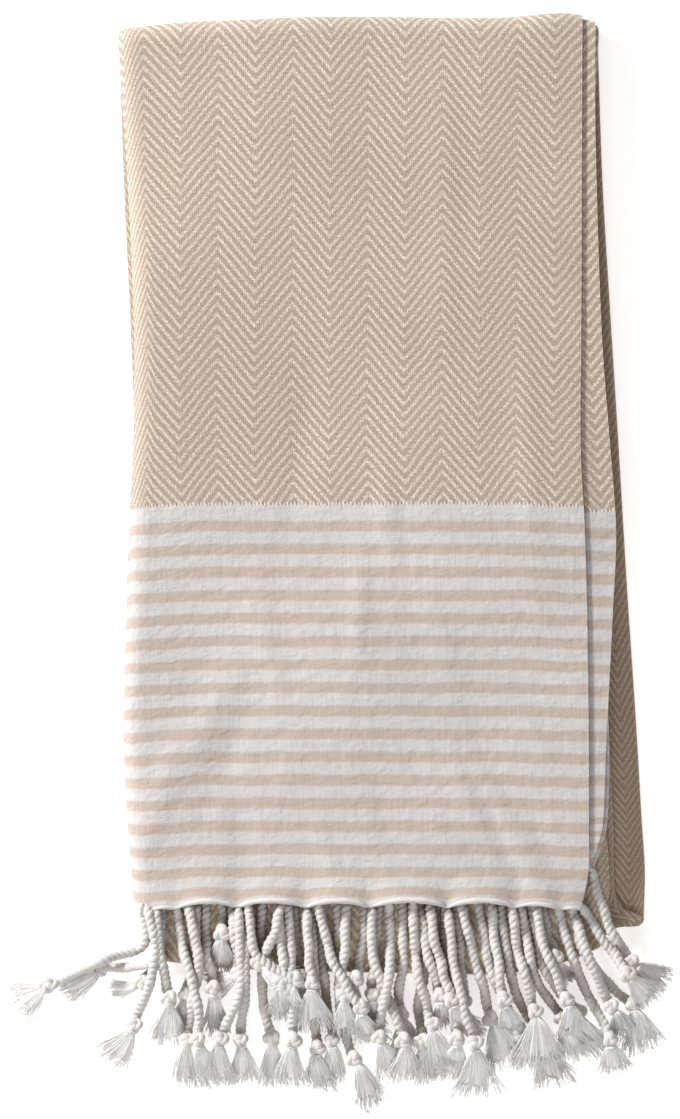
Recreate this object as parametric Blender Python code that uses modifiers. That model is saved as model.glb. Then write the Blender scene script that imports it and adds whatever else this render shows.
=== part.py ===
"""A cotton hammam towel, folded in four along its length and in three across it, lying flat.

Metres, +Z up from the surface it lies on. X runs across the folded towel and Y along it,
towards its top fold. The layers are counted by depth: 0 is the outermost panel of the folded
stack, which shows on top of the front run, and 3 is the panel at the inside of the top fold.
"""
import math
from collections import namedtuple

import bpy
import bmesh
from mathutils import Vector

MM = 0.001

# The cloth as woven, and how its layers lie on each other.
CLOTH_WIDTH = 980 * MM
CLOTH_LENGTH = 1400 * MM
CLOTH_THICK = 1.2 * MM
LAYER_PITCH = 1.8 * MM
DEEPEST = 3

# Runs of the folded towel, from the surface up: back, inner and front, four layers each.
INNER_TOP_LAYER = 7
FRONT_TOP_LAYER = 11
TOP_FOLD_Y = 289 * MM
BOTTOM_FOLD_Y = -219 * MM
HEM_TO_TOP_FOLD = 492.6 * MM

# The cloth's grid: the columns that all four panels share, as shares of the width between the side
# folds, and the steps round each fold and along each run.
SHARED_COLUMNS = (0.0, 0.3, 0.6, 0.85, 1.0)
LEFT_INSET = 44 * MM
RIGHT_INSET = 8 * MM
SIDE_FOLD_STEPS = 4
FRONT_STEPS = 12
BACK_STEPS = 9
INNER_STEPS = 8
CROSS_FOLD_STEPS = 6

# The twisted cords of the fringe, with their knots and cut tufts.
CORD_RADIUS = 2.9 * MM
KNOT_RADIUS = 4.6 * MM
TUFT_RADIUS = 6.2 * MM
HEADER_DEPTH = 2.4 * MM
PIECE_GAP = 0.3 * MM
CORD_DROP = 18 * MM
INNER_CORDS = 13
INNER_CORD_LENGTH = 104 * MM
INNER_CORD_RADIUS = 2.6 * MM

# Where the edges of the folded stack lie along each run, in millimetres: the outer fold at the
# left, the selvedge of the outermost panel, the selvedge of the next one, and the fold on the right.
Station = namedtuple("Station", "along left flap second fold")
FRONT_STATIONS = (
    Station(-188, -110.8, 132.7, 138.5, 142.5),
    Station(-167, -112.5, 137.0, 140.0, 144.5),
    Station(-146, -114.3, 137.2, 142.6, 146.8),
    Station(-97, -116.6, 137.2, 146.9, 148.0),
    Station(-20, -115.2, 136.2, 150.7, 145.0),
    Station(20, -114.0, 135.0, 152.3, 145.0),
    Station(66, -111.5, 132.8, 149.1, 144.0),
    Station(127, -110.8, 133.2, 144.5, 141.0),
    Station(236, -115.7, 133.6, 141.0, 139.5),
    Station(289, -119.5, 133.8, 141.0, 142.5),
)
BACK_STATIONS = (
    Station(-219, -97.0, 146.0, 142.0, 168.0),
    Station(-193, -97.5, 147.0, 143.0, 168.7),
    Station(-157, -99.0, 147.0, 143.5, 167.1),
    Station(-97, -102.0, 144.0, 143.0, 164.3),
    Station(-20, -106.0, 140.0, 141.5, 159.2),
    Station(66, -110.5, 137.0, 141.0, 154.0),
    Station(143, -114.0, 135.0, 141.0, 149.1),
    Station(209, -117.0, 134.0, 141.0, 145.2),
    Station(289, -119.5, 133.8, 141.0, 142.5),
)
INNER_STATIONS = (
    Station(-219, -97.0, 146.0, 142.0, 168.0),
    Station(-205, -102.0, 148.0, 146.0, 154.0),
    Station(-190, -104.5, 149.0, 147.0, 151.6),
    Station(-152, -105.5, 146.0, 143.0, 150.8),
    Station(-115, -108.0, 134.0, 131.0, 149.0),
    Station(-80, -109.3, 131.0, 129.0, 146.5),
    Station(-50, -107.8, 133.0, 132.0, 145.5),
    Station(20, -107.0, 132.0, 132.0, 145.0),
    Station(180, -107.3, 132.0, 132.0, 142.0),
)

# How far each cross fold runs ahead of a straight line, across the towel, in millimetres.
LinePoint = namedtuple("LinePoint", "across rise")
TOP_LINE = (
    LinePoint(-118, -6.6),
    LinePoint(-86, -3.3),
    LinePoint(-53, -1.7),
    LinePoint(-4, 0.0),
    LinePoint(89, -0.6),
    LinePoint(124, 2.0),
    LinePoint(143, -1.2),
)
BOTTOM_LINE = (
    LinePoint(-97, 7.0),
    LinePoint(-48, 2.5),
    LinePoint(34, 0.5),
    LinePoint(89, 0.0),
    LinePoint(116, 4.0),
    LinePoint(144, 13.0),
    LinePoint(169, 22.0),
)
LINE_FADE = 130 * MM

# Soft ridges and troughs of the front run, in millimetres: middle, half sizes and lift.
Swell = namedtuple("Swell", "across along half_width half_length lift")
SWELLS = (
    Swell(-70, 190, 55, 90, 0.9),
    Swell(30, 110, 60, 100, -0.8),
    Swell(85, 20, 50, 80, 0.7),
    Swell(-60, -60, 60, 80, -0.7),
    Swell(10, -90, 45, 90, 0.9),
    Swell(95, -140, 45, 60, -0.8),
)
# The hems under the outermost panel are drawn up at their right corner.
CORNER_RISE = 8 * MM
CORNER_FROM = 118 * MM
CORNER_WIDTH = 22 * MM
CORNER_FADE = 60 * MM
DROOP = 1.2 * MM
DROOP_WIDTH = 16 * MM

# The front fringe, in millimetres: where each cord leaves the hem, its knot, and its tuft's tip.
Cord = namedtuple("Cord", "hem_x knot_x knot_y tip_x tip_y")
FRONT_CORDS = (
    Cord(-106, -157, -230, -180, -238),
    Cord(-101, -129, -222, -151, -239),
    Cord(-95, -111, -256, -125, -276),
    Cord(-86, -92, -240, -96, -263),
    Cord(-78, -76, -262, -72, -286),
    Cord(-53, -62, -261, -65, -283),
    Cord(-45, -37, -260, -34, -287),
    Cord(-16, -13, -262, -13, -287),
    Cord(-2, 9, -272, 19, -300),
    Cord(19, 24, -259, 30, -281),
    Cord(31, 37, -261, 42, -281),
    Cord(59, 54, -254, 55, -280),
    Cord(68, 76, -262, 84, -298),
    Cord(96, 108, -246, 116, -287),
    Cord(106, 130, -250, 140, -272),
    Cord(118, 149, -260, 153, -278),
    Cord(126, 152, -240, 170, -258),
    Cord(132, 162, -225, 180, -234),
)


def eased(share):
    share = min(max(share, 0.0), 1.0)
    return share * share * (3 - 2 * share)


def read_table(rows, at, column):
    """A smooth curve through one column of a table whose first column rises, at a place in metres."""
    places = [row[0] * MM for row in rows]
    values = [getattr(row, column) * MM for row in rows]
    if at <= places[0]:
        return values[0]
    if at >= places[-1]:
        return values[-1]
    after = next(i for i, place in enumerate(places) if place > at)
    before = after - 1
    slopes = []
    for i in (before, after):
        low, high = max(i - 1, 0), min(i + 1, len(places) - 1)
        slopes.append((values[high] - values[low]) / (places[high] - places[low]))
    span = places[after] - places[before]
    t = (at - places[before]) / span
    return (
        values[before] * (2 * t**3 - 3 * t**2 + 1)
        + slopes[0] * span * (t**3 - 2 * t**2 + t)
        + values[after] * (3 * t**2 - 2 * t**3)
        + slopes[1] * span * (t**3 - t**2)
    )


def layer_height(layer):
    return CLOTH_THICK / 2 + LAYER_PITCH * layer


def top_radius(depth):
    return LAYER_PITCH * (FRONT_TOP_LAYER - 2 * depth) / 2


def bottom_radius(depth):
    return LAYER_PITCH * (INNER_TOP_LAYER - 2 * depth) / 2


def front_point(share, depth):
    length = HEM_TO_TOP_FOLD - math.pi / 2 * top_radius(depth)
    return TOP_FOLD_Y - length * (1 - share), layer_height(FRONT_TOP_LAYER - depth)


def top_fold_point(share, depth):
    angle = math.pi * share
    middle = layer_height(FRONT_TOP_LAYER / 2)
    return (
        TOP_FOLD_Y + top_radius(depth) * math.sin(angle),
        middle + top_radius(depth) * math.cos(angle),
    )


def back_point(share, depth):
    return TOP_FOLD_Y + (BOTTOM_FOLD_Y - TOP_FOLD_Y) * share, layer_height(depth)


def bottom_fold_point(share, depth):
    angle = math.pi * share
    middle = layer_height(INNER_TOP_LAYER / 2)
    return (
        BOTTOM_FOLD_Y - bottom_radius(depth) * math.sin(angle),
        middle - bottom_radius(depth) * math.cos(angle),
    )


def inner_point(share, depth):
    used = HEM_TO_TOP_FOLD + math.pi / 2 * top_radius(depth)
    used += TOP_FOLD_Y - BOTTOM_FOLD_Y + math.pi * bottom_radius(depth)
    return (
        BOTTOM_FOLD_Y + (CLOTH_LENGTH - used) * share,
        layer_height(INNER_TOP_LAYER - depth),
    )


# Each stretch of the towel's length: its points, its edges, its steps and how its place is bent.
Stretch = namedtuple("Stretch", "point stations steps on_front")
STRETCHES = (
    Stretch(front_point, FRONT_STATIONS, FRONT_STEPS, True),
    Stretch(top_fold_point, FRONT_STATIONS, CROSS_FOLD_STEPS, False),
    Stretch(back_point, BACK_STATIONS, BACK_STEPS, False),
    Stretch(bottom_fold_point, BACK_STATIONS, CROSS_FOLD_STEPS, False),
    Stretch(inner_point, INNER_STATIONS, INNER_STEPS, False),
)


def section(stations, at):
    """The folded section across the towel, as (x, depth) points from one selvedge to the other."""
    edge = {name: read_table(stations, at, name) for name in Station._fields[1:]}
    wide = LAYER_PITCH * DEEPEST / 2
    tight = LAYER_PITCH / 2
    outer_end = edge["left"] + wide
    right_end = edge["fold"] - tight
    spent = (edge["flap"] - outer_end) + (right_end - outer_end) + math.pi * (wide + 2 * tight)
    inner_end = (right_end + edge["second"] + spent - CLOTH_WIDTH) / 2
    points = []

    def panel(start, depth, rightwards):
        points.append((start, depth))
        low, high = edge["left"] + LEFT_INSET, edge["flap"] - RIGHT_INSET
        columns = [low + (high - low) * share for share in SHARED_COLUMNS]
        for x in columns if rightwards else reversed(columns):
            points.append((x, depth))

    def side_fold(x, towards, start, end):
        steps = SIDE_FOLD_STEPS + 2 * (abs(end - start) > 1)
        radius = LAYER_PITCH * abs(end - start) / 2
        for step in range(steps):
            angle = math.pi * step / steps
            depth = (start + end) / 2 + (start - end) / 2 * math.cos(angle)
            points.append((x + towards * radius * math.sin(angle), depth))

    panel(edge["flap"], 0, False)
    side_fold(outer_end, -1, 0, DEEPEST)
    panel(outer_end, DEEPEST, True)
    side_fold(right_end, 1, DEEPEST, 2)
    panel(right_end, 2, False)
    side_fold(inner_end, -1, 2, 1)
    panel(inner_end, 1, True)
    points.append((edge["second"], 1))
    return points


def swell(x, y, z):
    """How far the layers above the back run are lifted or pressed, most at the top."""
    lowest = layer_height(DEEPEST)
    share = (z - lowest) / (layer_height(FRONT_TOP_LAYER) - lowest)
    lift = 0.0
    for row in SWELLS:
        across = (x / MM - row.across) / row.half_width
        along = (y / MM - row.along) / row.half_length
        lift += row.lift * MM * math.exp(-across * across - along * along)
    return lift * max(share, 0.0)


def droop(x, y):
    """How far the lower edges of the front run sag beside the outermost panel's selvedge."""
    flap = read_table(FRONT_STATIONS, y, "flap")
    reach = eased((x - flap + 3 * MM) / DROOP_WIDTH)
    return DROOP * reach * eased((y + 120 * MM) / (80 * MM)) * eased((250 * MM - y) / (60 * MM))


def corner_rise(x, y):
    """How far a hem under the outermost panel is drawn up at its right corner."""
    hem_y = front_point(0, 0)[0]
    return CORNER_RISE * eased((x - CORNER_FROM) / CORNER_WIDTH) * eased((hem_y + CORNER_FADE - y) / CORNER_FADE)


def laid(x, y, z, depth, on_front):
    """The place of a point of the straight folded towel once it lies as uneven as it does."""
    if on_front:
        y += corner_rise(x, y) * min(depth, 1)
    z += swell(x, y, z) - (droop(x, y) if on_front else 0.0)
    y += read_table(TOP_LINE, x, "rise") * eased((y - TOP_FOLD_Y + LINE_FADE) / LINE_FADE)
    if not on_front:
        near = eased((BOTTOM_FOLD_Y + LINE_FADE - y) / LINE_FADE)
        y += read_table(BOTTOM_LINE, x, "rise") * near
    return x, y, z


def cloth_rows():
    """The rows of the cloth's grid, from the front hem round both cross folds to the inner hem."""
    rows = []
    for stretch in STRETCHES:
        last = stretch is STRETCHES[-1]
        for step in range(stretch.steps + last):
            share = step / stretch.steps
            at = stretch.point(share, 0)[0]
            row = []
            for x, depth in section(stretch.stations, at):
                y, z = stretch.point(share, depth)
                row.append(laid(x, y, z, depth, stretch.on_front))
            rows.append(row)
    return rows


def plain_material(name, colour, roughness):
    material = bpy.data.materials.new(name)
    material.use_nodes = True
    shader = material.node_tree.nodes["Principled BSDF"]
    shader.inputs["Base Color"].default_value = (*colour, 1.0)
    shader.inputs["Roughness"].default_value = roughness
    shader.inputs["Metallic"].default_value = 0.0
    return material


def placed(name, data, collection, material=None):
    piece = bpy.data.objects.new(name, data)
    collection.objects.link(piece)
    if material:
        data.materials.append(material)
    return piece


def cloth(collection):
    """The towel's one sheet of cloth: an open surface bent through its folds, then given its thickness."""
    bent = bmesh.new()
    rows = [[bent.verts.new(point) for point in row] for row in cloth_rows()]
    for below, above in zip(rows, rows[1:]):
        for i in range(len(below) - 1):
            ring = [below[i], above[i], above[i + 1], below[i + 1]]
            # Each face starts at its lower left or upper right corner, so that layers split alike and nest.
            if (below[i + 1].co.x - below[i].co.x) * (above[i].co.y - below[i].co.y) < 0:
                ring.append(ring.pop(0))
            bent.faces.new(ring)
    mesh = bpy.data.meshes.new("towel_cloth")
    bent.to_mesh(mesh)
    bent.free()
    mesh.shade_smooth()
    piece = placed("towel_cloth", mesh, collection, plain_material("beige cotton", (0.60, 0.49, 0.39), 0.9))
    thickness = piece.modifiers.new("Thickness", "SOLIDIFY")
    thickness.thickness = CLOTH_THICK
    thickness.offset = 0
    thickness.use_even_offset = False
    return piece


def cord_guide(name, points, collection):
    """One cord as a closed tube: each point is (x, y, z, radius)."""
    curve = bpy.data.curves.new(name, "CURVE")
    curve.dimensions = "3D"
    curve.bevel_depth = 1.0
    curve.bevel_resolution = 1
    curve.use_fill_caps = True
    spline = curve.splines.new("POLY")
    spline.points.add(len(points) - 1)
    for point, (x, y, z, radius) in zip(spline.points, points):
        point.co = (x, y, z, 1.0)
        point.radius = radius
    tube = placed(name, curve, collection)
    graph = bpy.context.evaluated_depsgraph_get()
    mesh = bpy.data.meshes.new_from_object(tube.evaluated_get(graph))
    bpy.data.objects.remove(tube)
    welded = bmesh.new()
    welded.from_mesh(mesh)
    bmesh.ops.remove_doubles(welded, verts=welded.verts, dist=0.00001)
    bmesh.ops.recalc_face_normals(welded, faces=welded.faces)
    welded.to_mesh(mesh)
    welded.free()
    guide = placed(name, mesh, collection)
    guide.hide_render = True
    guide.display_type = "WIRE"
    return guide


def comb(name, strip, teeth, collection, guides, material):
    """One fringe: the strip along the hem, (low corner, high corner), made one body with its cords."""
    low, high = (Vector(corner) for corner in strip)
    header = bmesh.new()
    bmesh.ops.create_cube(header, size=1.0)
    bmesh.ops.scale(header, vec=high - low, verts=header.verts)
    bmesh.ops.translate(header, vec=(low + high) / 2, verts=header.verts)
    mesh = bpy.data.meshes.new(name)
    header.to_mesh(mesh)
    header.free()
    piece = placed(name, mesh, collection, material)
    cords = bpy.data.collections.new(name + "_cords")
    guides.children.link(cords)
    for i, points in enumerate(teeth):
        cord_guide(f"{name}_cord_{i + 1}", points, cords)
    joined = piece.modifiers.new("One comb", "BOOLEAN")
    joined.operation = "UNION"
    joined.operand_type = "COLLECTION"
    joined.collection = cords
    joined.solver = "EXACT"
    return piece


def support(x, y):
    """The height that a cord lies on: the folded runs under the hem, sloping off past their edges."""
    bottom = BOTTOM_FOLD_Y - bottom_radius(0) + read_table(BOTTOM_LINE, x, "rise")
    height = 0.0
    for stations, layer in ((INNER_STATIONS, INNER_TOP_LAYER), (BACK_STATIONS, DEEPEST)):
        left = read_table(stations, y, "left")
        right = read_table(stations, y, "fold")
        outside = max(bottom - y, left - x, x - right, 0.0)
        top = layer_height(layer) + CLOTH_THICK / 2 + PIECE_GAP
        height = max(height, top * (1 - eased((outside - 2 * MM) / CORD_DROP)))
    return height


def front_fringe(collection, guides, material):
    hem_y = front_point(0, 0)[0]
    hem_z = layer_height(FRONT_TOP_LAYER)
    last_hem_y = front_point(0, DEEPEST)[0]
    strip_y = hem_y - PIECE_GAP
    strip = (
        (FRONT_CORDS[0].hem_x * MM - CORD_RADIUS, strip_y - HEADER_DEPTH, hem_z - CLOTH_THICK / 2),
        (FRONT_CORDS[-1].hem_x * MM + CORD_RADIUS, strip_y, hem_z + CLOTH_THICK / 2),
    )
    teeth = []
    for cord in FRONT_CORDS:
        hem_x, knot_x, knot_y = cord.hem_x * MM, cord.knot_x * MM, cord.knot_y * MM
        tip_x, tip_y = cord.tip_x * MM, cord.tip_y * MM
        start = (hem_x, strip_y - HEADER_DEPTH / 2, hem_z, CLOTH_THICK * 0.4)
        over = (hem_x, last_hem_y - 4 * MM, hem_z - 1.2 * MM, CORD_RADIUS)
        points = [start, over]
        for share in (0.25, 0.5, 0.75):
            x = hem_x + (knot_x - hem_x) * share**1.3
            y = over[1] + (knot_y - over[1]) * share
            points.append((x, y, max(support(x, y), 0.0) + CORD_RADIUS + PIECE_GAP, CORD_RADIUS))
        for share, radius in ((1.0, KNOT_RADIUS), (1.25, CORD_RADIUS + 0.6 * MM)):
            x = knot_x + (tip_x - knot_x) * (share - 1)
            y = knot_y + (tip_y - knot_y) * (share - 1)
            points.append((x, y, support(x, y) + radius, radius))
        points.append((tip_x, tip_y, TUFT_RADIUS, TUFT_RADIUS))
        teeth.append(points)
    return comb("front_fringe", strip, teeth, collection, guides, material)


def inner_fringe(collection, guides, material):
    """The fringe of the hidden end, laid straight between the runs above and below it."""
    hem_y = inner_point(1, DEEPEST)[0] + PIECE_GAP
    z = (layer_height(DEEPEST) + layer_height(FRONT_TOP_LAYER - DEEPEST)) / 2
    stations = INNER_STATIONS
    low_x = read_table(stations, hem_y, "left") + 4 * MM
    high_x = read_table(stations, hem_y, "second") - 4 * MM
    half = INNER_CORD_RADIUS
    strip = (
        (low_x - CORD_RADIUS, hem_y, z - half / 2),
        (high_x + CORD_RADIUS, hem_y + HEADER_DEPTH, z + half / 2),
    )
    teeth = []
    for i in range(INNER_CORDS):
        x = low_x + (high_x - low_x) * i / (INNER_CORDS - 1)
        end = hem_y + INNER_CORD_LENGTH
        teeth.append(
            [
                (x, hem_y + HEADER_DEPTH / 3, z, half * 0.35),
                (x, hem_y + 3 * HEADER_DEPTH, z, half),
                (x, end - 26 * MM, z, half),
                (x, end - 22 * MM, z, half * 1.2),
                (x, end - 18 * MM, z, half),
                (x, end, z, half * 1.25),
            ]
        )
    return comb("inner_fringe", strip, teeth, collection, guides, material)


def centre_on_origin(pieces):
    """Moves everything by one empty, so that the whole towel's box stands centred on the origin."""
    bpy.context.view_layer.update()
    graph = bpy.context.evaluated_depsgraph_get()
    corners = []
    for piece in pieces:
        mesh = piece.evaluated_get(graph).to_mesh()
        corners += [vertex.co.copy() for vertex in mesh.vertices]
        piece.evaluated_get(graph).to_mesh_clear()
    low = Vector(min(corner[i] for corner in corners) for i in range(3))
    high = Vector(max(corner[i] for corner in corners) for i in range(3))
    return Vector((-(low.x + high.x) / 2, -(low.y + high.y) / 2, -low.z))


def build_towel():
    for old in list(bpy.data.objects):
        bpy.data.objects.remove(old)
    towel = bpy.data.collections.new("hammam towel")
    guides = bpy.data.collections.new("cord guides")
    bpy.context.scene.collection.children.link(towel)
    bpy.context.scene.collection.children.link(guides)
    white = plain_material("white cotton yarn", (0.80, 0.77, 0.73), 0.95)
    pieces = [
        cloth(towel),
        front_fringe(towel, guides, white),
        inner_fringe(towel, guides, white),
    ]
    middle = placed("towel", None, towel)
    shift = centre_on_origin(pieces)
    for piece in pieces:
        piece.parent = middle
    for cords in guides.children:
        for guide in cords.objects:
            guide.parent = middle
    middle.location = shift


build_towel()
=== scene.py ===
import math
from collections import namedtuple

import bpy
import numpy as np
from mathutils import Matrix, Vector


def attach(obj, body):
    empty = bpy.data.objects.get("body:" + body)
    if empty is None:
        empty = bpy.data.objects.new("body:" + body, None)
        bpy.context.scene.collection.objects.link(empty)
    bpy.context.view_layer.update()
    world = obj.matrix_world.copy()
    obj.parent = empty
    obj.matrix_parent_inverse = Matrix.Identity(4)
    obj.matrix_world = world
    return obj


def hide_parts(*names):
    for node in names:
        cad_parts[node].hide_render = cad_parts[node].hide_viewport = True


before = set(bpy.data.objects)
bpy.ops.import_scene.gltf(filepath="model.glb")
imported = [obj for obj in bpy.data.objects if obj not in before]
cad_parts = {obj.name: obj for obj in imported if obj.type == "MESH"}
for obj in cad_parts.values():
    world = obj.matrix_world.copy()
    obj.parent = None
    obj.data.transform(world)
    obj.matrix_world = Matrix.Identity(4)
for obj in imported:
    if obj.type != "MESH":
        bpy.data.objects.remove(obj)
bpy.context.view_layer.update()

# ---------------------------------------------------------------------------------------------
# Towel cloth. One cotton sheet, folded in four along its length and in three across it, so that
# its front run shows on top. It is a grid bent round its folds, made as thick as the woven cloth.

MM = 0.001
CLOTH_WIDTH = 980 * MM
CLOTH_LENGTH = 1400 * MM
CLOTH_THICK = 1.2 * MM
LAYER_PITCH = 1.8 * MM
INNER_TOP_LAYER = 7
FRONT_TOP_LAYER = 11
TOP_FOLD_Y = 289.3 * MM
BOTTOM_FOLD_Y = -218.7 * MM
HEM_TO_TOP_FOLD = 492.6 * MM

# The edges of the folded stack along each run: place, outer left fold, selvedge of the top panel,
# selvedge of the second panel, fold on the right. Millimetres.
FRONT_EDGES = (
    (-188, -110.8, 132.7, 138.0, 139.5),
    (-167, -112.5, 137.0, 142.5, 144.5),
    (-146, -114.3, 137.2, 145.0, 147.0),
    (-97, -116.6, 137.2, 146.9, 148.0),
    (-20, -115.2, 136.2, 150.7, 145.0),
    (20, -114.0, 135.0, 152.3, 145.0),
    (66, -111.5, 132.8, 149.1, 144.0),
    (127, -110.8, 133.2, 144.5, 141.0),
    (236, -115.7, 133.6, 141.0, 139.5),
    (289, -119.5, 133.8, 141.0, 142.5),
)
BACK_EDGES = (
    (-219, -97.0, 146.0, 142.0, 168.0),
    (-193, -97.5, 147.0, 143.0, 168.7),
    (-157, -99.0, 147.0, 143.5, 167.1),
    (-97, -102.0, 144.0, 143.0, 164.3),
    (-20, -106.0, 140.0, 141.5, 159.2),
    (66, -110.5, 137.0, 141.0, 154.0),
    (143, -114.0, 135.0, 141.0, 149.1),
    (209, -117.0, 134.0, 141.0, 145.2),
    (289, -119.5, 133.8, 141.0, 142.5),
)
INNER_EDGES = (
    (-219, -97.0, 146.0, 142.0, 168.0),
    (-211, -100.0, 147.0, 145.0, 155.5),
    (-203, -103.0, 148.5, 146.5, 152.2),
    (-190, -104.5, 149.0, 147.0, 151.4),
    (-152, -105.5, 146.0, 143.0, 150.8),
    (-115, -108.0, 134.0, 131.0, 149.0),
    (-80, -109.3, 131.0, 129.0, 146.5),
    (-50, -107.8, 133.0, 132.0, 145.5),
    (20, -107.0, 132.0, 132.0, 145.0),
    (180, -107.3, 132.0, 132.0, 142.0),
)
# How far each cross fold runs ahead of a straight line: place across the towel, rise.
TOP_LINE = ((-118, -6.6), (-86, -3.3), (-53, -1.7), (-4, 0.0), (89, -0.6), (124, 2.0), (143, -1.2))
BOTTOM_LINE = (
    (-97, 7.0), (-48, 2.5), (34, 0.5), (89, 0.0), (116, 4.0), (143, 14.0), (149, 20.0),
    (154, 21.8), (160, 22.0), (166, 22.4), (169, 25.5),
)
LINE_FADE = 130 * MM
# Broad swells and narrow creases of the front run: middle across and along, half width, half
# length, turn in degrees from the towel's length, lift. Millimetres.
CREASE_DEPTH = 2.3
CREASES = (
    (-70, 190, 55, 90, 0, 0.63),
    (30, 110, 60, 100, 0, -0.56),
    (85, 20, 50, 80, 0, 0.49),
    (-60, -60, 60, 80, 0, -0.49),
    (10, -90, 45, 90, 0, 0.63),
    (132, -110, 58, 110, 0, 0.75),
    (10, -196, 150, 52, 0, 0.75),
    (12, -20, 5, 34, -3, 0.55),
    (27, 24, 6, 30, 2, 0.5),
    (-38, -46, 7, 30, 12, 0.45),
    (-74, -90, 9, 42, -30, 0.7),
    (-98, -128, 8, 34, -14, 0.5),
    (-62, -112, 7, 36, -24, -0.45),
    (-52, -150, 7, 32, 8, -0.5),
    (72, -128, 6, 40, 22, 0.5),
    (88, -150, 5, 34, 26, -0.5),
    (104, -166, 6, 26, 30, 0.55),
    (112, -150, 5, 22, 24, -0.4),
    (60, -60, 8, 50, 10, 0.35),
    (58, 190, 8, 80, 0, 0.35),
    (-20, 60, 9, 60, -8, -0.35),
    (104, 60, 8, 70, 3, 0.4),
    (64, -158, 4, 22, 34, 0.30),
    (80, -116, 4, 20, 30, 0.28),
    (96, -132, 4, 18, 36, -0.26),
    (118, -172, 4, 20, 30, 0.30),
    (50, -104, 5, 24, 26, 0.26),
    (30, -150, 5, 28, 16, -0.26),
    (-6, -160, 5, 26, 10, 0.28),
    (-26, -108, 5, 22, -14, 0.26),
    (108, -96, 4, 20, 24, 0.26),
    (112, -30, 4, 16, 40, 0.24),
)
DROOP = 0.6 * MM
DROOP_WIDTH = 16 * MM
# The stack rounds over at its left fold, and sinks at the right where only its folded half is left:
# the lowest layers by RIGHT_SINK and each layer above them by a little more.
LEFT_ROUND = 9 * MM
LEFT_DROP = 5.5 * MM
LEFT_ROUND_MOST = 1.2
RIGHT_SINK_FROM = 148 * MM
RIGHT_SINK_WIDTH = 20 * MM
RIGHT_SINK = 3.3 * MM
RIGHT_SINK_PER_LAYER = 0.5 * MM
# How much lower the front run hangs at its two sides, and each lower hem under the top one.
LEFT_SAG = 2.2 * MM
RIGHT_SAG = 1.2 * MM
HEM_STEP_BACK = 2.0 * MM
# The hems under the top panel are drawn up at their right corner.
CORNER_RISE = 19 * MM
CORNER_FROM = 118 * MM
CORNER_WIDTH = 22 * MM
CORNER_FADE = 60 * MM
# Where pairs of cords draw the hem down, with the hem arched between them. Millimetres.
HEM_TIES = (-112, -102, -88, -54.6, -17.5, 18, 60, 97.2, 121.8, 134)
HEM_ARCH = 4.2 * MM
HEM_ARCH_SPAN = 36 * MM
HEM_ARCH_SIZES = (0.2, 1.1)
HEM_FADE = 26 * MM
HEM_LIP = 4.4 * MM
HEM_LIP_WIDTH = 24 * MM
# The grid's columns from the top panel's selvedge on: four panels, with the wide left fold and two
# tight ones between them. The hidden panels' columns crowd towards the right.
FLAP_COLUMNS = 72
LEFT_FOLD_COLUMNS = 10
BACK_PANEL_COLUMNS = 20
TIGHT_FOLD_COLUMNS = 6
LAST_PANEL_COLUMNS = 26
CROWDING = 1.7
LEFT_FOLD_REACH = 5.0 * MM
LEFT_FOLD_LENGTH = 17.0 * MM


def eased(share):
    share = np.clip(share, 0.0, 1.0)
    return share * share * (3 - 2 * share)


def between(at, none, full):
    """A share that eases from 0 at one place to 1 at another, both in millimetres."""
    return eased((at / MM - none) / (full - none))


def read_line(rows, at, column=1):
    """A smooth curve through one column of a table of millimetres, at places in metres."""
    places = np.array([row[0] for row in rows]) * MM
    values = np.array([row[column] for row in rows]) * MM
    low = np.maximum(np.arange(len(rows)) - 1, 0)
    high = np.minimum(np.arange(len(rows)) + 1, len(rows) - 1)
    slopes = (values[high] - values[low]) / (places[high] - places[low])
    at = np.clip(at, places[0], places[-1])
    i = np.clip(np.searchsorted(places, at, side="right") - 1, 0, len(rows) - 2)
    span = places[i + 1] - places[i]
    t = (at - places[i]) / span
    return (
        values[i] * (2 * t**3 - 3 * t**2 + 1)
        + slopes[i] * span * (t**3 - 2 * t**2 + t)
        + values[i + 1] * (3 * t**2 - 2 * t**3)
        + slopes[i + 1] * span * (t**3 - t**2)
    )


def layer_height(layer):
    return CLOTH_THICK / 2 + LAYER_PITCH * layer


def top_radius(depth):
    return LAYER_PITCH * (FRONT_TOP_LAYER - 2 * depth) / 2


def bottom_radius(depth):
    return LAYER_PITCH * (INNER_TOP_LAYER - 2 * depth) / 2


def front_run(share, depth):
    length = HEM_TO_TOP_FOLD - math.pi / 2 * top_radius(depth)
    return TOP_FOLD_Y - length * (1 - share), layer_height(FRONT_TOP_LAYER - depth)


def top_fold(share, depth):
    angle = math.pi * share
    middle = layer_height(FRONT_TOP_LAYER / 2)
    radius = top_radius(depth)
    return TOP_FOLD_Y + radius * np.sin(angle), middle + radius * np.cos(angle)


def back_run(share, depth):
    return TOP_FOLD_Y + (BOTTOM_FOLD_Y - TOP_FOLD_Y) * share + 0 * depth, layer_height(depth)


def bottom_fold(share, depth):
    angle = math.pi * share
    middle = layer_height(INNER_TOP_LAYER / 2)
    radius = bottom_radius(depth)
    return BOTTOM_FOLD_Y - radius * np.sin(angle), middle - radius * np.cos(angle)


def inner_run(share, depth):
    used = HEM_TO_TOP_FOLD + math.pi / 2 * top_radius(depth)
    used = used + TOP_FOLD_Y - BOTTOM_FOLD_Y + math.pi * bottom_radius(depth)
    height = layer_height(INNER_TOP_LAYER - depth)
    return BOTTOM_FOLD_Y + (CLOTH_LENGTH - used) * share, height


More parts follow.
